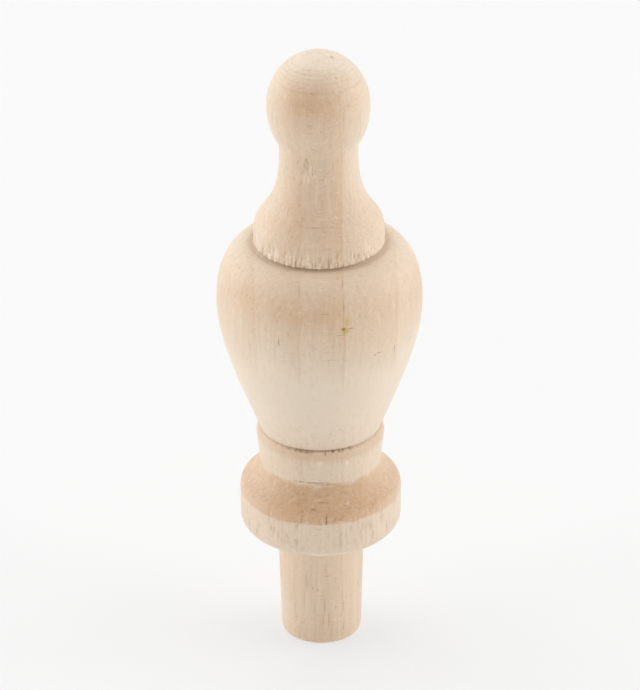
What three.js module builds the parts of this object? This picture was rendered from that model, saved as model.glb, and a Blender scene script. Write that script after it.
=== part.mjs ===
// A small wooden finial, turned in one piece from a birch blank: a round tenon at the bottom, a
// flange that seats on the work, a plain collar, a vase, a bell with a soft lip, a neck and a ball.
// Millimetres, +Z up along the turning axis, origin at the centre of the tenon's lower end.

import * as THREE from 'three';

// Driving dimensions: heights are measured from the tenon's lower end
const OVERALL_HEIGHT = 50.8;
const SIDES = 56;

const TENON_END_RADIUS = 3.2;
const TENON_ROOT_RADIUS = 3.45;
const TENON_LENGTH = 9.7;
const TENON_EASING_WIDTH = 0.22;
const TENON_EASING_HEIGHT = 0.76;

const FLANGE_RADIUS = 6.39;
const FLANGE_CORNER_WIDTH = 1.1;
const FLANGE_CORNER_HEIGHT = 1.25;
const FLANGE_BAND_TOP = 12.93;
const FLANGE_CROWN = 1.41;

const COLLAR_FOOT_RADIUS = 4.76;
const COLLAR_FOOT_HEIGHT = 15.57;
const COLLAR_FOOT_SWEEP = new THREE.Vector2(1.08, -2.09);
const COLLAR_BEAD_RADIUS = 5.05;
const COLLAR_BEAD_HEIGHT = 18.08;

const CREASE_RADIUS = 4.78;
const CREASE_HEIGHT = 18.84;

const VASE_RADIUS = 8.04;
const VASE_WIDEST_HEIGHT = 29.91;
const VASE_FOOT_FLARE = new THREE.Vector2(2.0, 5.04);
const VASE_BELLY = 2.8;
const VASE_SHOULDER = 3.7;
const VASE_TOP_RADIUS = 5.16;
const VASE_TOP_SPREAD = 1.26;

const LIP_RADIUS = 5.06;
const LIP_HEIGHT = 34.82;
const LIP_GROOVE_RADIUS = 4.86;
const LIP_GROOVE_WIDTH = 0.22;
const BELL_BAND_TOP = 36.14;
const BELL_ROUND = 1.58;
const BELL_SWEEP = 4.47;

const NECK_RADIUS = 3.05;
const NECK_HEIGHT = 42.27;

const BALL_RADIUS = 3.99;
const BALL_HEIGHT = 46.47;
const BALL_LOWER_HALF = 4.86;

// How many chords each round stretch of the outline is drawn with
const EASING_CHORDS = 2;
const CORNER_CHORDS = 4;
const CROWN_CHORDS = 10;
const BEAD_CHORDS = 3;
const VASE_CHORDS = 10;
const OGEE_CHORDS = 12;
const BALL_CHORDS = 8;

const QUARTER_TURN = Math.PI / 2;

function point(radius, height) {
  return new THREE.Vector2(radius, height);
}

// Part of an ellipse, from one angle to another, with angle 0 pointing away from the axis
function ellipsePoints(centre, halfWidth, halfHeight, fromAngle, toAngle, chords) {
  const arc = new THREE.EllipseCurve(
    centre.x, centre.y, halfWidth, halfHeight, fromAngle, toAngle,
  );
  return arc.getPoints(chords);
}

// A flowing curve between two points, leaving and arriving along the two handles
function sweepPoints(start, leaving, arriving, end, chords) {
  return new THREE.CubicBezierCurve(start, leaving, arriving, end).getPoints(chords);
}

// Round tenon: flat end with an eased edge, then a slight taper that swells towards the flange
function tenonOutline() {
  const easing = ellipsePoints(
    point(TENON_END_RADIUS - TENON_EASING_WIDTH, TENON_EASING_HEIGHT),
    TENON_EASING_WIDTH, TENON_EASING_HEIGHT, -QUARTER_TURN, 0, EASING_CHORDS,
  );
  return [point(0, 0), ...easing, point(TENON_ROOT_RADIUS, TENON_LENGTH)];
}

// Flange: flat seat, rounded lower corner, straight band, then a crown that rolls over and sweeps
// up again into the foot of the collar
function flangeOutline() {
  const corner = ellipsePoints(
    point(FLANGE_RADIUS - FLANGE_CORNER_WIDTH, TENON_LENGTH + FLANGE_CORNER_HEIGHT),
    FLANGE_CORNER_WIDTH, FLANGE_CORNER_HEIGHT, -QUARTER_TURN, 0, CORNER_CHORDS,
  );
  const collarFoot = point(COLLAR_FOOT_RADIUS, COLLAR_FOOT_HEIGHT);
  const crown = sweepPoints(
    point(FLANGE_RADIUS, FLANGE_BAND_TOP),
    point(FLANGE_RADIUS, FLANGE_BAND_TOP + FLANGE_CROWN),
    collarFoot.clone().add(COLLAR_FOOT_SWEEP),
    collarFoot,
    CROWN_CHORDS,
  );
  return [...corner, ...crown];
}

// Collar: widens a little to a small bead, which rolls into the sharp crease under the vase
function collarOutline() {
  return ellipsePoints(
    point(CREASE_RADIUS, COLLAR_BEAD_HEIGHT),
    COLLAR_BEAD_RADIUS - CREASE_RADIUS, CREASE_HEIGHT - COLLAR_BEAD_HEIGHT,
    0, QUARTER_TURN, BEAD_CHORDS,
  );
}

// Vase: flares from the crease to its widest girth, then turns over into a full shoulder
function vaseOutline() {
  const widest = point(VASE_RADIUS, VASE_WIDEST_HEIGHT);
  const foot = point(CREASE_RADIUS, CREASE_HEIGHT);
  const body = sweepPoints(
    foot,
    foot.clone().add(VASE_FOOT_FLARE),
    point(VASE_RADIUS, VASE_WIDEST_HEIGHT - VASE_BELLY),
    widest,
    VASE_CHORDS,
  );
  const shoulder = sweepPoints(
    widest,
    point(VASE_RADIUS, VASE_WIDEST_HEIGHT + VASE_SHOULDER),
    point(VASE_TOP_RADIUS + VASE_TOP_SPREAD, LIP_HEIGHT),
    point(VASE_TOP_RADIUS, LIP_HEIGHT),
    VASE_CHORDS,
  );
  return [...body.slice(1), ...shoulder.slice(1)];
}

// Bell: a fine groove under the lip, a short straight band, then an S-curve up to the neck
function bellOutline() {
  const groove = point(LIP_GROOVE_RADIUS, LIP_HEIGHT + LIP_GROOVE_WIDTH / 2);
  const lip = point(LIP_RADIUS, LIP_HEIGHT + LIP_GROOVE_WIDTH);
  const ogee = sweepPoints(
    point(LIP_RADIUS, BELL_BAND_TOP),
    point(LIP_RADIUS, BELL_BAND_TOP + BELL_ROUND),
    point(NECK_RADIUS, NECK_HEIGHT - BELL_SWEEP),
    point(NECK_RADIUS, NECK_HEIGHT),
    OGEE_CHORDS,
  );
  return [groove, lip, ...ogee];
}

// Ball: an egg that starts where it cuts the straight neck and closes on the axis
function ballOutline() {
  const centre = point(0, BALL_HEIGHT);
  const meeting = -Math.acos(NECK_RADIUS / BALL_RADIUS);
  const upperHalf = OVERALL_HEIGHT - BALL_HEIGHT;
  const lower = ellipsePoints(centre, BALL_RADIUS, BALL_LOWER_HALF, meeting, 0, BALL_CHORDS);
  const upper = ellipsePoints(centre, BALL_RADIUS, upperHalf, 0, QUARTER_TURN, BALL_CHORDS);
  const crown = point(0, OVERALL_HEIGHT);
  return [...lower, ...upper.slice(1, -1), crown];
}

function turnedSolid(outline) {
  const solid = new THREE.LatheGeometry(outline, SIDES);
  // The lathe turns about Y, so the axis is stood up along Z
  solid.rotateX(QUARTER_TURN);
  return solid;
}

const outline = [
  ...tenonOutline(),
  ...flangeOutline(),
  ...collarOutline(),
  ...vaseOutline(),
  ...bellOutline(),
  ...ballOutline(),
];

const birch = new THREE.MeshStandardMaterial({ color: 0xdcbb98, roughness: 0.68, metalness: 0 });

const finial = new THREE.Mesh(turnedSolid(outline), birch);
finial.name = 'finial';

const group = new THREE.Group();
group.add(finial);

export default group;
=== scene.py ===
# %% [markdown]
# # A turned birch finial
# A finial is the small ornament that ends a post, a shelf or a clock case. This one was cut in one
# piece on a lathe from a birch blank, sanded lightly and left bare. The lesson loads the measured
# solid as a fixed frame, draws the same outline finely, gives it the marks that the lathe and the
# grain left, and lights it softly on a pale floor.

# %% Load the measured solid
import math

import bpy
import numpy as np
from mathutils import Matrix, Vector


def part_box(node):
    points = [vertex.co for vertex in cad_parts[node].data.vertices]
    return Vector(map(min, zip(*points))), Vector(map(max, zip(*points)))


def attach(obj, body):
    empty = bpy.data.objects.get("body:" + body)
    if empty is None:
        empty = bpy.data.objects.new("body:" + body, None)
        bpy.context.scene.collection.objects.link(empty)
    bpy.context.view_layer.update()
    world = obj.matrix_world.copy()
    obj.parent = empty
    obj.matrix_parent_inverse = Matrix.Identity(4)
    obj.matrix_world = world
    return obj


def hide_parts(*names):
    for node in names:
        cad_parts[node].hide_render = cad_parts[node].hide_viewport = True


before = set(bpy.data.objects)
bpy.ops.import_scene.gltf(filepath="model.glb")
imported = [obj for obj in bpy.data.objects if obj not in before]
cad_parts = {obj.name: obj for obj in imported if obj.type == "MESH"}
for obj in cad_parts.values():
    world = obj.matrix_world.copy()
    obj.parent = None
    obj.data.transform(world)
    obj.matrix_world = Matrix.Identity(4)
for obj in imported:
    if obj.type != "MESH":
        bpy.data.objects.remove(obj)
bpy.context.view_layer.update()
solid_low, solid_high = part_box("finial")
print("solid, mm:", [round(1000 * side, 2) for side in solid_high - solid_low])

# %% [markdown]
# ## The outline
# A turning is known by one outline: radius against height. It could be read off the solid, but the
# solid is faceted, so its arcs and curves are drawn again here from the same sizes, in millimetres.
# Heights are counted from the tenon's lower end. Each stretch carries the gap between the rings of
# points that it gets later, small where the tool left a crisp edge and larger on long sweeps.

# %% Curves that an outline is made of
FINE = 400
CROWN_OF_ALL = 1000 * solid_high.z
GIRTH = 1000 * solid_high.x
print("height, mm:", round(CROWN_OF_ALL, 2), "greatest radius:", round(GIRTH, 2))


def arc(centre, half_width, half_height, start, stop):
    turn = np.radians(np.linspace(start, stop, FINE))
    radius = centre[0] + half_width * np.cos(turn)
    height = centre[1] + half_height * np.sin(turn)
    return np.column_stack((radius, height))


def sweep(start, leaving, arriving, end):
    t = np.linspace(0, 1, FINE)[:, None]
    s = 1 - t
    start, leaving, arriving, end = np.array([start, leaving, arriving, end], float)
    return s**3 * start + 3 * s**2 * t * leaving + 3 * s * t**2 * arriving + t**3 * end


def straight(start, end):
    return np.linspace(start, end, FINE)


# %% [markdown]
# ### Tenon and flange
# The tenon is the round pin that is glued into a drilled hole. It tapers a little towards an eased
# end, so that it starts easily. Above it the flange covers the hole's rim with a flat seat, a rounded
# lower corner and a plain band, and its crown sweeps in to the collar. Straight lines, quarter
# ellipses and one sweep are enough for all of it. Pairs are width and height.

# %% Tenon and flange
TENON_END = 3.2
TENON_ROOT = 3.45
TENON_LENGTH = 9.7
EASING = (0.22, 0.76)
FLANGE = 6.39
FLANGE_CORNER = (1.1, 1.25)
BAND_FOOT = TENON_LENGTH + FLANGE_CORNER[1]
BAND_TOP = 12.93
CROWN_RISE = (0, 1.41)
COLLAR_FOOT = np.array([4.76, 15.57])
COLLAR_SWEEP = np.array([1.08, -2.09])


def tenon_and_flange():
    flat_end = TENON_END - EASING[0]
    seat_edge = FLANGE - FLANGE_CORNER[0]
    band_top = np.array([FLANGE, BAND_TOP])
    return [
        (straight((0, 0), (flat_end, 0)), 0.5),
        (arc((flat_end, EASING[1]), *EASING, -90, 0), 0.12),
        (straight((TENON_END, EASING[1]), (TENON_ROOT, TENON_LENGTH)), 0.45),
        (straight((TENON_ROOT, TENON_LENGTH), (seat_edge, TENON_LENGTH)), 0.45),
        (arc((seat_edge, BAND_FOOT), *FLANGE_CORNER, -90, 0), 0.1),
        (straight((FLANGE, BAND_FOOT), band_top), 0.25),
        (sweep(band_top, band_top + CROWN_RISE, COLLAR_FOOT + COLLAR_SWEEP, COLLAR_FOOT), 0.14),
    ]


print("across, mm: tenon", 2 * TENON_END, "flange", 2 * FLANGE)

# %% [markdown]
# ### Collar and vase
# The collar flares up to a small bead. A thin parting cut makes the crease that sets it off from the
# vase, which swells out of the crease to its widest girth and rounds over to a nearly flat top. The
# long curves are sweeps that stand upright at the girth, so that they meet there without a kink.

# %% Collar and vase
BEAD = np.array([5.05, 18.08])
CREASE = np.array([4.78, 18.84])
CREASE_CUT = 0.3
CREASE_WIDTH = 0.09
VASE_WIDEST = np.array([GIRTH, 29.91])
VASE_FLARE = np.array([2.0, 5.04])
VASE_BELLY = (0, 2.8)
VASE_SHOULDER = (0, 3.7)
VASE_TOP = np.array([5.16, 34.82])
VASE_SPREAD = (1.26, 0)
SHOULDER_FLAT = 300


def collar_and_vase():
    cut_floor = CREASE - (CREASE_CUT, CREASE_WIDTH / 2)
    bead_edge = CREASE - (0, CREASE_WIDTH)
    rise = bead_edge[1] - BEAD[1]
    shoulder = sweep(VASE_WIDEST, VASE_WIDEST + VASE_SHOULDER, VASE_TOP + VASE_SPREAD, VASE_TOP)
    return [
        (straight(COLLAR_FOOT, BEAD), 0.3),
        (arc((bead_edge[0], BEAD[1]), BEAD[0] - bead_edge[0], rise, 0, 90), 0.08),
        (straight(bead_edge, cut_floor), 0.1),
        (straight(cut_floor, CREASE), 0.1),
        (sweep(CREASE, CREASE + VASE_FLARE, VASE_WIDEST - VASE_BELLY, VASE_WIDEST), 0.42),
        (shoulder[: SHOULDER_FLAT + 1], 0.32),
        (shoulder[SHOULDER_FLAT:], 0.12),
    ]


print("across, mm: bead", 2 * BEAD[0], "vase", round(2 * GIRTH, 2))

# %% [markdown]
# ### Bell, neck and ball
# A fine groove parts the vase from the bell's lip. From a short upright band the bell draws in to the
# neck. The ball above is egg-shaped: its lower half is the longer one. Its crown gets closer rings of
# points, for the scores that the tool left there.

# %% Bell, neck and ball
LIP = np.array([5.06, 34.98])
LIP_GROOVE = np.array([4.72, 34.88])
BELL_BAND = np.array([5.06, 36.14])
BELL_ROUND = (0, 1.58)
BELL_SWEEP = (0, 4.47)
NECK = np.array([3.05, 42.27])
BALL = 3.99
BALL_MIDDLE = 46.47
BALL_LOWER_HALF = 4.86
SCORED_ZONE = (30, 76)


def bell_neck_and_ball():
    meeting = math.degrees(math.acos(NECK[0] / BALL))
    meeting_height = BALL_MIDDLE - BALL_LOWER_HALF * math.sin(math.radians(meeting))
    middle = (0, BALL_MIDDLE)
    upper_half = CROWN_OF_ALL - BALL_MIDDLE
    scored_from, scored_to = SCORED_ZONE
    return [
        (straight(VASE_TOP, LIP_GROOVE), 0.1),
        (straight(LIP_GROOVE, LIP), 0.07),
        (straight(LIP, BELL_BAND), 0.1),
        (sweep(BELL_BAND, BELL_BAND + BELL_ROUND, NECK - BELL_SWEEP, NECK), 0.26),
        (straight(NECK, (NECK[0], meeting_height)), 0.12),
        (arc(middle, BALL, BALL_LOWER_HALF, -meeting, 0), 0.27),
        (arc(middle, BALL, upper_half, 0, scored_from), 0.3),
        (arc(middle, BALL, upper_half, scored_from, scored_to), 0.11),
        (arc(middle, BALL, upper_half, scored_to, 90), 0.2),
    ]


print("across, mm: bell", 2 * BELL_BAND[0], "neck", 2 * NECK[0], "ball", 2 * BALL)


# %% String the stretches together at even gaps
def evenly(points, gap):
    run = np.concatenate(([0], np.cumsum(np.hypot(*np.diff(points, axis=0).T))))
    steps = max(1, round(run[-1] / gap))
    marks = np.linspace(0, run[-1], steps + 1)
    return np.column_stack([np.interp(marks, run, points[:, i]) for i in (0, 1)])


stretches = tenon_and_flange() + collar_and_vase() + bell_neck_and_ball()
outline = np.concatenate([evenly(points, gap)[:-1] for points, gap in stretches])
outline = np.vstack((outline, (0, CROWN_OF_ALL)))
print("outline points:", len(outline), "widest radius:", round(outline[:, 0].max(), 2))

# %% [markdown]
# ## The camera
# The finial was seen from a little above, through a long lens. The camera stands on the -Y side at
# that angle. The lens is worked out from how many pixels the finial covers at this distance, in a
# picture of 640 by 690 pixels whose long side is the sensor's. Lengths are in millimetres.

# %% Place the camera
FRAME_HEIGHT = 690
PIXEL = 0.0783  # what one pixel covers at the finial's axis
SENSOR = 36.0
CAMERA_DISTANCE = 368.0
CAMERA_ELEVATION = 28.58
CAMERA_ROLL = 0.36
AIM = (0.015, 0.0, 25.62)
NEAREST_SEEN = 10.0
MM = 0.001

elevation = math.radians(CAMERA_ELEVATION)
backwards = Vector((0, -math.cos(elevation), math.sin(elevation)))
camera = bpy.data.objects.new("camera", bpy.data.cameras.new("camera"))
camera.data.sensor_width = SENSOR
camera.data.lens = SENSOR * CAMERA_DISTANCE / (PIXEL * FRAME_HEIGHT)
camera.data.clip_start = MM * NEAREST_SEEN
camera.location = MM * (Vector(AIM) + CAMERA_DISTANCE * backwards)
upright = (-backwards).to_track_quat("-Z", "Y").to_matrix()
camera.rotation_euler = (upright @ Matrix.Rotation(math.radians(-CAMERA_ROLL), 3, "Z")).to_euler()
bpy.context.collection.objects.link(camera)
bpy.context.scene.camera = camera
print("lens, mm:", round(camera.data.lens, 1))

# %% [markdown]
# ## Turning the outline
# Blender's Screw modifier could spin the outline, but then the marks of the tool and the torn grain
# would have to come from a displacement. Here the rings are laid out as a grid, outline point by
# compass angle, so that every mark is a plain sum on that grid, in millimetres out of the surface.
# Compass 0 is the side that faces the camera, and angles grow towards +X.

# %% The grid
SIDES = 362
ring_radius = outline[1:-1, 0][:, None]
ring_height = outline[1:-1, 1][:, None]
ring_run = np.cumsum(np.hypot(*np.diff(outline, axis=0).T))[:-1, None]
compass = np.linspace(-180, 180, SIDES, endpoint=False)[None, :]
along = np.gradient(outline, axis=0)[1:-1]
along /= np.linalg.norm(along, axis=1)[:, None]
outward = along[:, 1][:, None]
upward = -along[:, 0][:, None]
relief = np.zeros((len(ring_radius), SIDES))
print("rings:", len(ring_radius), "sides:", SIDES, "triangles:", 2 * len(ring_radius) * SIDES)


# %% [markdown]
# A few small measures are enough to place any mark: how far round the ring a point lies from a
# compass angle, how far along the outline it lies from a height, and soft bands, spots and stretches
# of a ring made of these. `ragged` wanders between 0 and 1 round the ring, for edges that crumbled.

# %% Measures on the grid
dice = np.random.default_rng(11)


def round_from(centre):
    turn = (compass - centre + 180) % 360 - 180
    return np.radians(turn) * ring_radius


def along_from(height):
    return ring_run - np.interp(height, ring_height[:, 0], ring_run[:, 0])


def band(height, reach):
    """A soft band round the turning, measured along the outline."""
    return np.exp(-((along_from(height) / reach) ** 2))


def level(height, reach):
    """A soft band round the turning, measured straight up."""
    return np.exp(-(((ring_height - height) / reach) ** 2))


def spot(centre, height, half_width, half_length):
    return np.exp(-((round_from(centre) / half_width) ** 2) - (along_from(height) / half_length) ** 2)


def step(value, start, stop):
    t = np.clip((value - start) / (stop - start), 0, 1)
    return t * t * (3 - 2 * t)


def part_of_ring(start, full, fading, end):
    return step(compass, start, full) * (1 - step(compass, fading, end))


def ragged(count):
    places = np.linspace(-180, 180, count, endpoint=False)
    return np.interp(compass, places, dice.random(count), period=360)


def uneven(least, count):
    return least + (1 - least) * ragged(count)


print("length of the outline, mm:", round(ring_run[-1, 0], 1))

# %% [markdown]
# ## Torn grain at the bell's lip
# Birch cuts cleanly along the grain but tears where a tool leaves it across the ends. On the lip the
# fibres stand up in short leaning strands, pale on their backs, with dark slits between them. They
# could be hairs on the surface, but they are rooted in the wood, so they are raised and cut in the
# mesh. Each strand and slit gets its own place, width, length and lean, and the strongest one wins
# where they cross, so that they don't pile up.

# %% Strands and slits at the lip
STRANDS = 420
SLITS = 300
LONGEST_STRAND = 1.3
LONGEST_SLIT = 0.9
SHORTEST_FIBRE = 0.25
FAINTEST_FIBRE = 0.25
FIBRE_LEAN = 1.6
FIBRE_WIDTH = (0.04, 0.065)
FIBRE_START = (0.1, 0.3)
FIBRE_FOOT = 0.02
STRAND_LIFT = 0.045
SLIT_DEPTH = 0.06


def torn_fibres(count, longest):
    strongest = np.zeros_like(relief)
    for fibre in range(count):
        lean = dice.normal(0, FIBRE_LEAN) * (ring_height - LIP[1])
        centre = dice.uniform(-180, 180)
        strip = np.exp(-((round_from(centre + lean) / dice.uniform(*FIBRE_WIDTH)) ** 2))
        start = LIP[1] + max(-FIBRE_FOOT, dice.normal(*FIBRE_START))
        length = dice.uniform(SHORTEST_FIBRE, longest)
        rise = (ring_height - start) / length
        fade = np.where((rise > -FIBRE_FOOT) & (rise < 1), 1 - np.clip(rise, 0, 1) ** 2, 0)
        strongest = np.maximum(strongest, dice.uniform(FAINTEST_FIBRE, 1) * strip * fade)
    return strongest


# The strands are later painted paler and the slits darker: partly the torn wood's own colour, partly a
# painted highlight and painted shade.
strands = torn_fibres(STRANDS, LONGEST_STRAND)
slits = torn_fibres(SLITS, LONGEST_SLIT)
relief += STRAND_LIFT * strands - SLIT_DEPTH * slits
print("lip relief, mm:", round(relief.min(), 3), "to", round(relief.max(), 3))

# %% [markdown]
# The lip's lower edge is left a little ragged: it sags at the strands and is nibbled at the slits.
# Just outside it the tool dug a shallow cove into the vase. The groove is also painted a little
# darker, most of all in front: painted shade that deepens its shadow, kept for the colour.

# %% Ragged edge, cove and shade under the lip
LIP_SAG = 0.045
LIP_EDGE = 0.09
LIP_WOBBLES = 90
COVE_DEPTH = 0.09
COVE_REACH = 0.24
GROOVE_FRONT = (-70, -35, 15, 50)
GROOVE_AT_SIDES = 0.35
GROOVE_FAINTEST = 0.6
GROOVE_WOBBLES = 140
GROOVE_REACH = 0.3

sag = LIP_SAG * level(LIP[1], LIP_EDGE) * (slits - strands * ragged(LIP_WOBBLES))
sag -= COVE_DEPTH * band(VASE_TOP[1], COVE_REACH)
# Painted shade along the groove under the lip, strongest in front.
groove_front = GROOVE_AT_SIDES + (1 - GROOVE_AT_SIDES) * part_of_ring(*GROOVE_FRONT)
groove_shade = groove_front * uneven(GROOVE_FAINTEST, GROOVE_WOBBLES) * band(LIP_GROOVE[1], GROOVE_REACH)
print("sag of the edge and cove, mm:", round(sag.min(), 3), "to", round(sag.max(), 3))

# %% [markdown]
# ## The ragged crease
# Under the vase a thin tool parted the collar's bead from the body. In front the cut is deep and its
# lower edge crumbled. Towards the sides it closes to a faint line. One clean cut all round would be
# simpler, but it would look machined: the cut's floor is filled at the sides, and small notches are
# broken out of the bead's upper edge.

# %% Crease and notches in the bead
CREASE_FRONT = (-50, -18, 20, 46)
CUT_LEAST_OPEN = 0.55
CUT_WOBBLES = 120
CUT_FLOOR_REACH = 0.03
CUT_FILLED = 0.95
NOTCHES = 190
NOTCH_DEPTH = 0.28
NOTCH_DROP = 0.12
NOTCH_REACH = 0.09
NOTCH_LEAST = 0.35
NOTCHES_AT_SIDES = 0.15
CREASE_SHADE_REACH = 0.36
CREASE_SHADE_AT_SIDES = 0.1

cut_middle = CREASE[1] - CREASE_WIDTH / 2
in_front = part_of_ring(*CREASE_FRONT)
open_cut = in_front * uneven(CUT_LEAST_OPEN, CUT_WOBBLES)
fill = CUT_FILLED * CREASE_CUT * level(cut_middle, CUT_FLOOR_REACH) * (1 - open_cut)
notches = np.clip(ragged(NOTCHES) - NOTCH_LEAST, 0, 1)
notches = notches * (NOTCHES_AT_SIDES + (1 - NOTCHES_AT_SIDES) * in_front)
notches = notches * level(CREASE[1] - NOTCH_DROP, NOTCH_REACH)
relief -= NOTCH_DEPTH * notches
# Painted shade along the cut, darkest where it is open in front.
crease_shade = CREASE_SHADE_AT_SIDES + (1 - CREASE_SHADE_AT_SIDES) * open_cut
crease_shade = crease_shade * np.exp(-((along_from(cut_middle) / CREASE_SHADE_REACH) ** 4))
print("deepest notch, mm:", round(NOTCH_DEPTH * notches.max(), 3))

# %% [markdown]
# ## Marks of the lathe
# The skew chisel left fine rings round the ball's crown, a second score below the lip on one side,
# and a whisker of wood on the flange's lower corner where the cuts from both sides met. Each could be
# a line in the colour alone, but light catches them, so they are cut and raised in the mesh. The
# ball's rings are also painted darker later, as painted shade in their grooves.

# %% Scored rings, a second score and a whisker
BALL_SCORES = [(48.92, 0.9), (49.22, 0.7), (49.48, 0.8), (49.73, 1.0), (49.97, 0.8), (50.2, 0.5)]
SCORE_DEPTH = 0.045
SCORE_REACH = 0.1
SCORE_FAINTEST = 0.4
SCORE_WOBBLES = 9
scores = np.zeros_like(relief)
for height, depth in BALL_SCORES:
    scores += depth * uneven(SCORE_FAINTEST, SCORE_WOBBLES) * band(height, SCORE_REACH)
relief -= SCORE_DEPTH * scores

SECOND_SCORE_HEIGHT = 34.62
SECOND_SCORE_PART = (-62, -44, -14, -4)
SECOND_SCORE_DEPTH = 0.025
SECOND_SCORE_REACH = 0.11
second_score = part_of_ring(*SECOND_SCORE_PART) * band(SECOND_SCORE_HEIGHT, SECOND_SCORE_REACH)
relief -= SECOND_SCORE_DEPTH * second_score

WHISKER_HEIGHT = 10.2
WHISKER_PART = (-9, -5, 16, 24)
WHISKER_LIFT = 0.07
WHISKER_REACH = 0.12
WHISKER_FAINTEST = 0.5
WHISKER_WOBBLES = 80
whisker = part_of_ring(*WHISKER_PART) * band(WHISKER_HEIGHT, WHISKER_REACH)
whisker = whisker * uneven(WHISKER_FAINTEST, WHISKER_WOBBLES)
relief += WHISKER_LIFT * whisker
print("scores on the ball:", len(BALL_SCORES), "deepest, mm:", round(SCORE_DEPTH * scores.max(), 3))

# %% [markdown]
# ## Pits and loose fibres
# Small pits are left where fibres were pulled out: a patch on the neck, a scatter on the crown of the
# flange, and thin upright nicks on the flange's band and on the tenon. In the neck's patch a few
# fibres still stand up. Each row gives a count, then ranges: compass, height, half width, half length.

# %% Pits and loose fibres
PIT_DEPTH = 0.05
NECK_FIBRE_LIFT = 0.03
FAINTEST_PIT = 0.3
PITS = [
    ("neck patch", 16, (-32, -6), (41.9, 43.3), (0.05, 0.1), (0.08, 0.3)),
    ("neck and bell", 26, (-180, 180), (38.2, 43.3), (0.04, 0.08), (0.1, 0.25)),
    ("front of the crown", 44, (-28, 30), (13.4, 15.0), (0.05, 0.16), (0.06, 0.11)),
    ("crown", 60, (-180, 180), (13.3, 15.2), (0.06, 0.14), (0.06, 0.12)),
    ("band of the flange", 120, (-180, 180), (10.8, 12.8), (0.04, 0.09), (0.15, 0.45)),
    ("tenon", 60, (-180, 180), (0.8, 9.3), (0.04, 0.07), (0.3, 0.6)),
]
NECK_FIBRES = (16, (-36, -4), (41.4, 43.2), (0.04, 0.07), (0.12, 0.35))


def scatter(marks, count, compass_range, height_range, half_width, half_length):
    for mark in range(count):
        centre = dice.uniform(*compass_range)
        height = dice.uniform(*height_range)
        size = dice.uniform(*half_width), dice.uniform(*half_length)
        np.maximum(marks, dice.uniform(FAINTEST_PIT, 1) * spot(centre, height, *size), out=marks)


pits = np.zeros_like(relief)
for where, *row in PITS:
    scatter(pits, *row)
    print("pits on", where + ":", row[0])
neck_fibres = np.zeros_like(relief)
scatter(neck_fibres, *NECK_FIBRES)
relief += NECK_FIBRE_LIFT * neck_fibres - PIT_DEPTH * pits
print("relief, mm:", round(relief.min(), 3), "to", round(relief.max(), 3))

# %% [markdown]
# ## The mesh
# Every ring is joined to the next with four-sided faces, and both ends are closed with a fan round
# the axis. Edges sharper than 50 degrees, at the lip and the crease, stay crisp.

# %% Mesh of the turning
CRISP = 50
radius = ring_radius + relief * outward + fill
height = ring_height + relief * upward + sag
angle = np.radians(compass)
shell = np.stack((radius * np.sin(angle), -radius * np.cos(angle), height + 0 * angle), axis=-1)
points = np.vstack((shell.reshape(-1, 3), (0, 0, 0), (0, 0, CROWN_OF_ALL)))
foot_point = len(points) - 2
top_point = len(points) - 1

corner = np.arange(len(ring_radius) * SIDES).reshape(-1, SIDES)
next_corner = np.roll(corner, -1, axis=1)
walls = np.stack((corner[:-1], next_corner[:-1], next_corner[1:], corner[1:]), axis=-1).reshape(-1, 4)
foot_fan = [(foot_point, b, a) for a, b in zip(corner[0].tolist(), next_corner[0].tolist())]
top_fan = [(top_point, a, b) for a, b in zip(corner[-1].tolist(), next_corner[-1].tolist())]

mesh = bpy.data.meshes.new("turned_finial")
mesh.from_pydata((MM * points).tolist(), [], walls.tolist() + foot_fan + top_fan)
mesh.validate()
mesh.shade_smooth()
mesh.set_sharp_from_angle(angle=math.radians(CRISP))
turning = bpy.data.objects.new("turned_finial", mesh)
bpy.context.collection.objects.link(turning)
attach(turning, "root")
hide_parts("finial")
print("mesh faces:", len(mesh.polygons))

# %% [markdown]
# ## Where the wood is painted tan and where pale
# The tone runs from cream to tan, zone by zone. Much of it is painted light: the flange's crown, the
# upper ball, the shoulder of the vase and the bead under the vase are painted tan as painted shade,
# and the ball's crown is painted paler as a painted highlight. The lower vase is painted almost cream,
# and the bell and the tenon a little tanner. A colour could be painted by slope alone, but the zones
# follow the cuts, so each zone is named by its height and reach. The result is kept on the mesh for the
# shader to read.

# %% Tan and pale zones
PLAIN_TONE = 0.405
# Painted shade makes the upper ball, the vase's shoulder and the bead tan; a painted highlight makes the
# ball's crown pale.
ZONES = [
    ("ball", 47.8, 2.0, 0.26),
    ("ball crown, painted highlight", 50.9, 1.0, -0.3),
    ("bell", 38.3, 2.8, 0.18),
    ("vase top", 34.5, 0.7, -0.06),
    ("vase shoulder, painted shade", 32.3, 1.5, 0.1),
    ("lower vase", 24.6, 4.2, -0.44),
    ("bead", 18.3, 0.5, 0.38),
    ("tenon", 6.0, 3.2, 0.17),
    ("tenon end", 0.0, 2.2, 0.22),
]
tone = np.full_like(relief, PLAIN_TONE)
for zone, middle, reach, amount in ZONES:
    tone += amount * level(middle, reach)
print("tone of the zones:", round(tone.min(), 2), "to", round(tone.max(), 2))

# %% [markdown]
# The sides of the upper half and of the bead are painted paler than the front: a painted highlight
# where the turning's sides face the side lamps. The flange's crown is painted darkest, from rim to
# collar, with ragged limits: painted shade under the vase's overhang, lighter at the sides. A few broad
# patches, each given by compass, height, half width and half length, break up the even bands; those on
# the front of the ball and of the vase's shoulder are painted shade.

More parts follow.
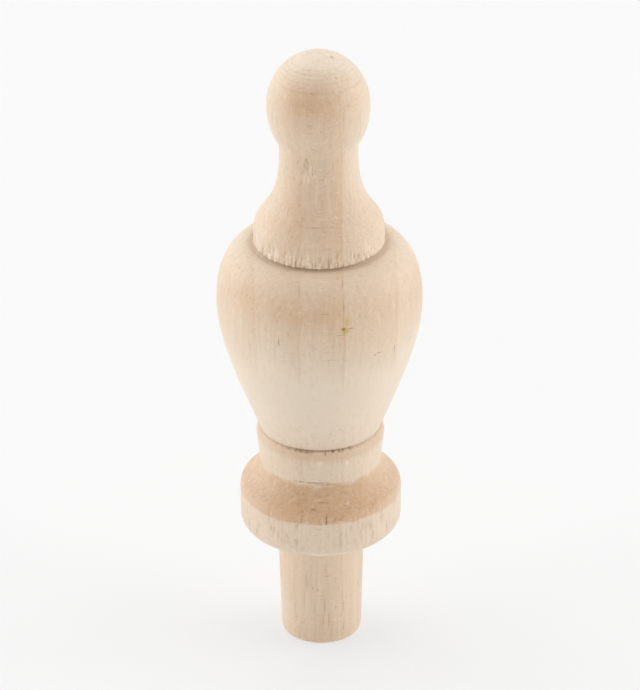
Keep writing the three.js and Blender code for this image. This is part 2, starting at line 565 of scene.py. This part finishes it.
# %% Painted highlight on the sides, painted shade on the crown, and patches
SIDE_PAINTED_HIGHLIGHT = 0.2
SIDE_SPAN = (20, 75, 105, 160)
PALER_ABOVE = (28, 36)
PALER_BEAD_REACH = 0.8
CROWN_PAINTED_SHADE = 0.66
CROWN_LOSS_AT_SIDES = 0.45
CROWN_RIM = (12.9, 13.16)
CROWN_RIM_SWAY = 0.22
CROWN_RIM_WOBBLES = 90
CROWN_TOP = (15.45, 15.8)
CROWN_TOP_SWAY = 0.35
CROWN_TOP_WOBBLES = 70
PATCHES = [
    # The ball and vase patches on the front are painted shade.
    ("ball", -14, 48.2, 1.9, 1.1, 0.28),
    ("vase", -8, 32.2, 3.4, 1.1, 0.2),
    ("vase left", -46, 33.0, 1.7, 1.3, 0.12),
    ("vase edge", -72, 31.8, 2.0, 2.0, 0.1),
    ("vase right", 72, 31.6, 2.4, 2.4, 0.18),
    ("crown right", 55, 14.2, 2.0, 1.0, 0.14),
    ("bead right", 60, 18.2, 1.6, 0.6, 0.14),
]
# Painted highlight: the sides of the upper half and of the bead are made paler.
either_side = np.abs(compass)
sides = step(either_side, *SIDE_SPAN[:2]) * (1 - step(either_side, *SIDE_SPAN[2:]))
paler = step(ring_height, *PALER_ABOVE) + level(BEAD[1], PALER_BEAD_REACH)
tone -= SIDE_PAINTED_HIGHLIGHT * sides * paler
# Painted shade: the flange's crown is darkened from rim to collar, under the vase's overhang, less at the
# sides.
ragged_top = ring_height + CROWN_TOP_SWAY * (ragged(CROWN_TOP_WOBBLES) - 0.5)
ragged_rim = ring_height + CROWN_RIM_SWAY * (ragged(CROWN_RIM_WOBBLES) - 0.5)
crown = step(ragged_rim, *CROWN_RIM) * (1 - step(ragged_top, *CROWN_TOP))
tone += CROWN_PAINTED_SHADE * (1 - CROWN_LOSS_AT_SIDES * sides) * crown
for patch, centre, middle, half_width, half_length, amount in PATCHES:
    tone += amount * spot(centre, middle, half_width, half_length)
print("tone:", round(tone.min(), 2), "to", round(tone.max(), 2))

# %% [markdown]
# Four values go onto the mesh's points: the tone, the pale fibres with the painted highlight on the lip's
# strands, the painted shade in every slit, pit, score and notch and along the groove and the crease, and
# the strength of the grain, which the clean cut of the lower vase hides.

# %% Keep the zones on the mesh
PALE_SHARE = 0.8
SLIT_SHARE = 1.15
PIT_SHARE = 0.75
SCORE_SHARE = 0.34
NOTCH_SHARE = 0.8
GROOVE_SHARE = 0.15
CREASE_SHARE = 0.12
CLEAN_CUT = (24.2, 4.0)
CLEAN_CUT_HIDES = 0.75


def keep(name, values):
    ends = values[0].mean(), values[-1].mean()
    numbers = np.append(values.ravel(), ends).astype(np.float32)
    mesh.attributes.new(name, "FLOAT", "POINT").data.foreach_set("value", numbers)
    print("kept:", name, round(float(numbers.min()), 2), "to", round(float(numbers.max()), 2))


# Painted shade in every slit, pit, score and notch and along the groove and the crease.
recess_painted_shade = np.maximum(SLIT_SHARE * slits, PIT_SHARE * pits)
recess_painted_shade += SCORE_SHARE * scores + NOTCH_SHARE * notches
recess_painted_shade += GROOVE_SHARE * groove_shade + CREASE_SHARE * crease_shade
keep("tone", tone)
# The lip's strands are painted pale: partly the torn wood's own colour, partly a painted highlight.
keep("pale_fibres_and_highlight", strands + PALE_SHARE * (whisker + neck_fibres))
keep("recess_painted_shade", recess_painted_shade)
keep("grain", 1 - CLEAN_CUT_HIDES * level(*CLEAN_CUT) + 0 * compass)

# %% [markdown]
# ## Birch, turned and sanded, bare
# Birch is a pale, pinkish tan wood with a close, even grain. Cut and sanded with no finish on it, it
# is dull and a little fuzzy: no clear reflections, a soft brightening where it is seen edge-on. Up
# close the eye finds faint growth rings, thin upright pores, short level ray flecks where the cut
# runs along the rays, and a few brown flecks. All patterns are solid ones, in millimetres, so that
# they run through the wood and change by themselves where the turning cuts them at another angle.

# %% Colours and the node helper
def linear(code):
    """A colour written as sRGB hex, as the linear values that a shader takes."""
    parts = [int(code[i : i + 2], 16) / 255 for i in (1, 3, 5)]
    return [p / 12.92 if p <= 0.04045 else ((p + 0.055) / 1.055) ** 2.4 for p in parts] + [1.0]


def add(tree, kind, links=None, **settings):
    """A new node: settings are its own values, links its sockets' values or what feeds them."""
    node = tree.nodes.new(kind)
    for name, value in settings.items():
        setattr(node, name, value)
    for socket, source in (links or {}).items():
        if isinstance(source, bpy.types.NodeSocket):
            tree.links.new(source, node.inputs[socket])
        else:
            node.inputs[socket].default_value = source
    return node


# %% Solid patterns of the wood
birch = bpy.data.materials.new("birch_turned_and_sanded")
birch.use_nodes = True
tree = birch.node_tree
surface = tree.nodes["Principled BSDF"]
mesh.materials.append(birch)

object_place = add(tree, "ShaderNodeTexCoord").outputs["Object"]
place = add(tree, "ShaderNodeVectorMath", {
    0: object_place, 1: (1 / MM,) * 3,
}, operation="MULTIPLY").outputs[0]

# One cell of each pattern in mm: across the growth rings, along them, and up the grain. Real birch
# vessels are about 0.1 mm wide and rays thinner still, so both are drawn a little coarser to show.
CELLS = {
    "cloud": (6.0, 6.0, 9.0),
    "wander": (3.0, 5.0, 14.0),
    "fibre": (0.3, 0.3, 6.0),
    "pore": (0.15, 0.15, 1.5),
    "ray": (0.9, 0.12, 0.24),
    "mottle": (0.28, 0.28, 0.3),
    "tool": (60.0, 60.0, 0.16),
}
pattern = {}
for name, cell in CELLS.items():
    stretched = add(tree, "ShaderNodeVectorMath", {0: place, 1: cell}, operation="DIVIDE").outputs[0]
    noise = add(tree, "ShaderNodeTexNoise", {"Vector": stretched, "Scale": 1.0, "Detail": 2.0})
    pattern[name] = noise.outputs["Fac"]
print("wood patterns:", ", ".join(pattern))

# %% [markdown]
# ### Growth rings
# The blank was sawn so that the rings stand upright and nearly flat, edge-on to the front. Each
# year's wood darkens slowly to a thin brown line and starts pale again behind it. A wave texture
# would space the lines evenly, so a colour ramp across the blank holds each line's place and depth,
# and a slow noise lets them wander. They fade on the clean-cut lower vase and on the ball.

# %% Growth rings
RING_LINES = ((-8.3, 0.8), (-4.9, 0.7), (-1.46, 0.66), (1.78, 0.95), (5.9, 0.74))
BLANK_HALF = 9.0
RING_PALE = 0.32
RING_DARK = 0.58
LINE_WIDTH = 0.09
RING_WANDER = 1.1
FADES = [(20.0, 27.0, 0.3), (47.0, 42.0, 0.35)]  # faint at the first height, full at the second

directions = add(tree, "ShaderNodeSeparateXYZ", {0: place}).outputs
wandering = add(tree, "ShaderNodeMath", {
    0: pattern["wander"], 1: RING_WANDER, 2: directions["X"],
}, operation="MULTIPLY_ADD")
ring_place = add(tree, "ShaderNodeMapRange", {
    "Value": wandering.outputs[0],
    "From Min": RING_WANDER / 2 - BLANK_HALF,
    "From Max": RING_WANDER / 2 + BLANK_HALF,
}).outputs["Result"]
ring_ramp = add(tree, "ShaderNodeValToRGB", {"Fac": ring_place})
stops = [(-BLANK_HALF, RING_PALE)]
for line, depth in RING_LINES:
    stops += [(line - 2 * LINE_WIDTH, RING_DARK), (line, depth), (line + LINE_WIDTH, RING_PALE)]
ramp = ring_ramp.color_ramp
for index, (where, grey) in enumerate(stops):
    position = (where + BLANK_HALF) / (2 * BLANK_HALF)
    stop = ramp.elements[0] if index == 0 else ramp.elements.new(position)
    stop.position = position
    stop.color = (grey, grey, grey, 1)
ramp.elements.remove(ramp.elements[len(ramp.elements) - 1])
rings = ring_ramp.outputs["Color"]
for faint, full, least in FADES:
    shown = add(tree, "ShaderNodeMapRange", {
        "Value": directions["Z"], "From Min": faint, "From Max": full, "To Min": least,
    }).outputs["Result"]
    rings = add(tree, "ShaderNodeMath", {0: rings, 1: shown}, operation="MULTIPLY").outputs[0]
print("ring lines at, mm:", RING_LINES)

# %% [markdown]
# ### Ground colour
# The kept tone chooses between cream and tan, the two ends of bare birch under white light. Broad
# clouds and the growth rings push it a little either way, round a middle that leaves it unchanged.

# %% Ground colour
CREAM = linear("#DACAB6")
TAN = linear("#C49E79")
CLOUD_PUSH = 0.35
RING_PUSH = 0.5

kept_tone = add(tree, "ShaderNodeAttribute", attribute_name="tone").outputs["Fac"]
pushed = kept_tone
for push, amount in ((pattern["cloud"], CLOUD_PUSH), (rings, RING_PUSH)):
    pushed = add(tree, "ShaderNodeMath", {
        0: push, 1: amount, 2: pushed,
    }, operation="MULTIPLY_ADD").outputs[0]
whole_tone = add(tree, "ShaderNodeMath", {
    0: pushed, 1: (CLOUD_PUSH + RING_PUSH) / 2,
}, operation="SUBTRACT", use_clamp=True).outputs[0]
ground = add(tree, "ShaderNodeMix", {"Factor": whole_tone, "A": CREAM, "B": TAN}, data_type="RGBA")
print("wood nodes so far:", len(tree.nodes))

# %% [markdown]
# ### Fibres, pores and rays
# Each pattern gives marks where its noise is high or low. Fibres and pores stand upright, because
# they run up the grain, and rays lie level. Dark marks pull the colour towards brown and pale ones
# towards cream. The kept painted shade in the slits, pits, scores, notches, groove and crease joins the
# dark marks, and the pale strands with their painted highlight join the pale ones. Each row gives the
# noise where a mark starts, the noise where it is full, and its strength.

# %% Dark and pale marks
DARK_MARKS = [
    ("fibre", 0.52, 0.78, 0.14),
    ("pore", 0.62, 0.76, 0.24),
    ("ray", 0.6, 0.76, 0.26),
    ("mottle", 0.55, 0.8, 0.1),
]
PALE_MARKS = [
    ("fibre", 0.46, 0.22, 0.16),
    ("ray", 0.4, 0.26, 0.2),
    ("pore", 0.38, 0.26, 0.16),
]
# How strongly the kept painted shade and the pale strands with their painted highlight show.
SLIT_SHADE = 0.7
FIBRE_SHINE = 0.75
GRAIN_BROWN = linear("#9A7350")
FIBRE_CREAM = linear("#F1E3CF")

marked = ground.outputs["Result"]
grain = add(tree, "ShaderNodeAttribute", attribute_name="grain").outputs["Fac"]
for marks, kept, kept_amount, colour in (
    (DARK_MARKS, "recess_painted_shade", SLIT_SHADE, GRAIN_BROWN),
    (PALE_MARKS, "pale_fibres_and_highlight", FIBRE_SHINE, FIBRE_CREAM),
):
    kept_value = add(tree, "ShaderNodeAttribute", attribute_name=kept).outputs["Fac"]
    amount = add(tree, "ShaderNodeMath", {0: kept_value, 1: kept_amount}, operation="MULTIPLY").outputs[0]
    for name, start, full, strength in marks:
        mark = add(tree, "ShaderNodeMapRange", {
            "Value": pattern[name], "From Min": start, "From Max": full, "To Max": strength,
        }, interpolation_type="SMOOTHSTEP").outputs["Result"]
        amount = add(tree, "ShaderNodeMath", {
            0: mark, 1: grain, 2: amount,
        }, operation="MULTIPLY_ADD", use_clamp=True).outputs[0]
    mix = add(tree, "ShaderNodeMix", {"Factor": amount, "A": marked, "B": colour}, data_type="RGBA")
    marked = mix.outputs["Result"]
print("dark marks:", len(DARK_MARKS), "pale marks:", len(PALE_MARKS))

# %% [markdown]
# ### Flecks
# A few marks belong to this piece of wood alone: a small yellow-brown pith fleck on the vase, short
# bark-dark dashes beside it, a hairline round the bell, cracks at the crease and the crown, and pale
# blotches on the collar. Two are painted light instead: a nub on the ball, drawn only as a painted
# highlight with a painted shade beside it, and a painted shade along the collar's foot. Paint on the
# surface would need a flat map of it. Instead each mark is an ellipsoid in the wood, given by compass,
# height and half sizes in mm, with its edge broken up by the mottle, so that it sits in the surface
# from any side.

# %% Flecks
FLECK_EDGE = 1.6
FLECK_HEART = 0.1
STAIN = "#BC9C48"
BARK = "#6E5338"
SCORE = "#A8825F"
NUB_PAINTED_HIGHLIGHT = "#F1E3CF"
PALE_BLOTCH = "#EAD9C0"
FLECKS = [
    ("stain, upper", 15.4, 31.7, (0.42, 0.6, 0.5), STAIN, 0.45),
    ("stain, lower", 14.2, 31.1, (0.4, 0.6, 0.5), STAIN, 0.8),
    ("stain, heart", 13.2, 31.2, (0.16, 0.4, 0.14), BARK, 0.7),
    ("stain, tail", 17.6, 31.2, (0.3, 0.5, 0.06), BARK, 0.6),
    ("stain, foot", 11.2, 30.72, (0.45, 0.5, 0.05), SCORE, 0.6),
    ("dash by the stain", 34.4, 28.46, (0.34, 0.6, 0.07), BARK, 0.8),
    ("dot by the stain", 32.4, 28.36, (0.18, 0.4, 0.07), BARK, 0.6),
    ("right dash", 46.6, 28.3, (0.08, 0.4, 0.5), BARK, 0.5),
    ("left dash", -23.0, 29.9, (0.07, 0.4, 0.58), BARK, 0.7),
    ("ray dash", 6.0, 28.55, (0.9, 0.5, 0.05), SCORE, 0.55),
    ("upper ray dash", 3.0, 32.45, (0.55, 0.5, 0.07), SCORE, 0.45),
    ("ring line, upper", 15.4, 34.3, (0.06, 1.2, 0.5), SCORE, 0.7),
    ("ring line, lower", 14.2, 33.0, (0.06, 1.2, 0.9), SCORE, 0.6),
    ("left ring line", -13.0, 33.9, (0.06, 1.2, 1.0), SCORE, 0.55),
    ("bell hairline", -4.0, 38.02, (1.9, 0.9, 0.06), SCORE, 0.5),
    ("bell upper line", 4.0, 39.0, (0.8, 0.6, 0.05), SCORE, 0.35),
    ("neck speck", -15.0, 42.95, (0.1, 0.3, 0.12), BARK, 0.55),
    ("neck dash", -9.0, 42.1, (0.06, 0.3, 0.28), BARK, 0.5),
    # The nub is not in the mesh: a painted highlight with a painted shade beside it stands for it.
    ("ball nub", 92.0, 50.72, (0.3, 0.25, 0.12), NUB_PAINTED_HIGHLIGHT, 0.6),
    ("ball nub shade", 70.0, 50.62, (0.3, 0.25, 0.1), SCORE, 0.6),
    ("ball speck", 3.0, 46.1, (0.1, 0.3, 0.1), BARK, 0.4),
    ("crease crack", 4.5, 18.6, (0.07, 0.3, 0.2), BARK, 0.6),
    # Painted shade along the collar's foot, where it meets the flange's crown.
    ("collar foot painted shade line", -8.0, 15.9, (2.4, 1.2, 0.11), SCORE, 0.8),
    ("collar foot shade", 6.0, 15.72, (1.5, 1.2, 0.13), SCORE, 0.6),
    ("crown crack", 3.9, 13.3, (0.1, 0.9, 0.5), BARK, 0.75),
    ("crown curl", -6.0, 14.1, (0.3, 0.5, 0.09), BARK, 0.4),
    ("crown second curl", 1.5, 14.5, (0.5, 0.5, 0.07), SCORE, 0.6),
    ("crown third curl", -15.0, 14.6, (0.6, 0.6, 0.06), SCORE, 0.5),
    ("tenon pore", -4.8, 5.2, (0.07, 0.3, 0.28), BARK, 0.6),
    ("tenon second pore", -12.0, 5.3, (0.05, 0.3, 0.25), BARK, 0.4),
    ("collar blotch", -0.5, 17.75, (0.32, 0.5, 0.42), PALE_BLOTCH, 0.5),
    ("right collar blotch", 24.5, 17.6, (0.24, 0.5, 0.4), PALE_BLOTCH, 0.5),
    ("crown blotch", 22.2, 14.3, (0.22, 0.4, 0.12), PALE_BLOTCH, 0.5),
]
for name, centre, height, half_sizes, colour, strength in FLECKS:
    reach = np.interp(height, ring_height[:, 0], ring_radius[:, 0])
    turn = math.radians(centre)
    heart = (reach * math.sin(turn), -reach * math.cos(turn), height)
    offset = add(tree, "ShaderNodeVectorMath", {0: place, 1: heart}, operation="SUBTRACT").outputs[0]
    scaled = add(tree, "ShaderNodeVectorMath", {0: offset, 1: half_sizes}, operation="DIVIDE").outputs[0]
    distance = add(tree, "ShaderNodeVectorMath", {0: scaled}, operation="LENGTH").outputs["Value"]
    broken = add(tree, "ShaderNodeMath", {
        0: pattern["mottle"], 1: FLECK_EDGE, 2: distance,
    }, operation="MULTIPLY_ADD").outputs[0]
    inside = add(tree, "ShaderNodeMapRange", {
        "Value": broken,
        "From Min": 1 + FLECK_EDGE / 2,
        "From Max": FLECK_HEART + FLECK_EDGE / 2,
        "To Max": strength,
    }, interpolation_type="SMOOTHSTEP").outputs["Result"]
    mix = add(tree, "ShaderNodeMix", {"Factor": inside, "A": marked, "B": linear(colour)}, data_type="RGBA")
    marked = mix.outputs["Result"]
print("flecks:", len(FLECKS))

# %% [markdown]
# ### Surface
# Bare sanded wood scatters light: roughness about 0.6, a reflection weaker than a varnish gives, and
# a little sheen for the fuzz of cut fibres. Fibres, pores and the tool's fine rings are also felt as
# a bump of a few hundredths of a millimetre, too small to be worth modelling.

# %% Surface
ROUGHNESS = (0.52, 0.7)
REFLECTION = 0.3
FUZZ = 0.17
FUZZ_ROUGHNESS = 0.5
BUMP_HEIGHT = 0.03
BUMP_STRENGTH = 0.6
BUMPS = [("fibre", 0.5), ("pore", -0.7), ("tool", 0.5), ("mottle", 0.3)]

tree.links.new(marked, surface.inputs["Base Color"])
rough = add(tree, "ShaderNodeMapRange", {
    "Value": pattern["fibre"], "To Min": ROUGHNESS[0], "To Max": ROUGHNESS[1],
}).outputs["Result"]
tree.links.new(rough, surface.inputs["Roughness"])
surface.inputs["Specular IOR Level"].default_value = REFLECTION
surface.inputs["Sheen Weight"].default_value = FUZZ
surface.inputs["Sheen Roughness"].default_value = FUZZ_ROUGHNESS

felt = 0.0
for name, weight in BUMPS:
    felt = add(tree, "ShaderNodeMath", {
        0: pattern[name], 1: weight, 2: felt,
    }, operation="MULTIPLY_ADD").outputs[0]
bump = add(tree, "ShaderNodeBump", {
    "Height": felt, "Strength": BUMP_STRENGTH, "Distance": MM * BUMP_HEIGHT,
})
tree.links.new(bump.outputs["Normal"], surface.inputs["Normal"])
print("wood nodes:", len(tree.nodes))

# %% [markdown]
# ## Floor and light
# The finial stands on a sheet of white acrylic that is lit from below, as on a photographer's light
# table. A white floor under lamps alone would show a strong shadow. A floor that glows by itself stays
# almost white, and keeps only a faint shade round the tenon's foot. It is matt, so it mirrors nothing.

# %% Floor
FLOOR_SIZE = 3.0
FLOOR_GAP = 0.02
FLOOR_GLOW = 0.59
WHITE = linear("#FFFFFF")
ACRYLIC = linear("#8E8E8E")

half = FLOOR_SIZE / 2
floor_corners = [(-half, -half, 0), (half, -half, 0), (half, half, 0), (-half, half, 0)]
floor_mesh = bpy.data.meshes.new("floor")
floor_mesh.from_pydata(floor_corners, [], [(0, 1, 2, 3)])
floor = bpy.data.objects.new("floor", floor_mesh)
floor.location.z = -MM * FLOOR_GAP
bpy.context.collection.objects.link(floor)
acrylic = bpy.data.materials.new("white_acrylic_lit_from_below")
acrylic.use_nodes = True
sheet = acrylic.node_tree.nodes["Principled BSDF"].inputs
sheet["Base Color"].default_value = ACRYLIC
sheet["Roughness"].default_value = 0.9
sheet["Emission Color"].default_value = WHITE
sheet["Emission Strength"].default_value = FLOOR_GLOW
floor_mesh.materials.append(acrylic)
print("floor, m:", FLOOR_SIZE)

# %% [markdown]
# Large panels stand on both sides, above and behind, and a low one fills in from the front. One bare
# lamp would give hard shadows; large panels wrap round the turning and leave its front a little darker
# than its edges. The world is pale at the horizon, for level views, and dim above it.


# %% Lights
FINIAL_MIDDLE = Vector((0, 0, 0.025))


def softbox(name, centre, width, tall, brightness):
    """A lamp panel facing the finial, sizes in metres; a brightness of 1 is the picture's white."""
    lamp = bpy.data.lights.new(name, "AREA")
    lamp.shape = "RECTANGLE"
    lamp.size = width
    lamp.size_y = tall
    lamp.energy = brightness * math.pi * width * tall
    panel = bpy.data.objects.new(name, lamp)
    panel.location = centre
    panel.rotation_euler = (FINIAL_MIDDLE - Vector(centre)).to_track_quat("-Z", "Y").to_euler()
    panel.visible_camera = False
    bpy.context.collection.objects.link(panel)
    print("panel:", name, "at", centre)


softbox("left_panel", (-0.5, 0.0, 0.2), 0.5, 0.5, 2.45)
softbox("left_back_panel", (-0.45, 0.3, 0.2), 0.35, 0.35, 2.1)
softbox("right_panel", (0.5, 0.0, 0.2), 0.5, 0.5, 3.1)
softbox("top_panel", (0, 0.1, 0.6), 0.6, 0.6, 1.6)
softbox("back_top_panel", (0, 0.36, 0.52), 0.7, 0.35, 1.3)
softbox("front_low_panel", (0, -0.6, 0.1), 0.6, 0.18, 2.7)

# %% World
HORIZON = (0.08, 0.2)
HORIZON_GLOW = 0.92
SKY_GLOW = 0.12

world = bpy.data.worlds.new("studio")
world.use_nodes = True
sky = world.node_tree
direction = add(sky, "ShaderNodeTexCoord").outputs["Generated"]
climb = add(sky, "ShaderNodeSeparateXYZ", {0: direction}).outputs["Z"]
dimming = add(sky, "ShaderNodeMapRange", {
    "Value": climb,
    "From Min": HORIZON[0],
    "From Max": HORIZON[1],
    "To Min": HORIZON_GLOW,
    "To Max": SKY_GLOW,
}).outputs["Result"]
sky.nodes["Background"].inputs["Color"].default_value = WHITE
sky.links.new(dimming, sky.nodes["Background"].inputs["Strength"])
bpy.context.scene.world = world
bpy.context.scene.view_settings.view_transform = "Standard"
print("world:", world.name, "glow from", HORIZON_GLOW, "down to", SKY_GLOW)
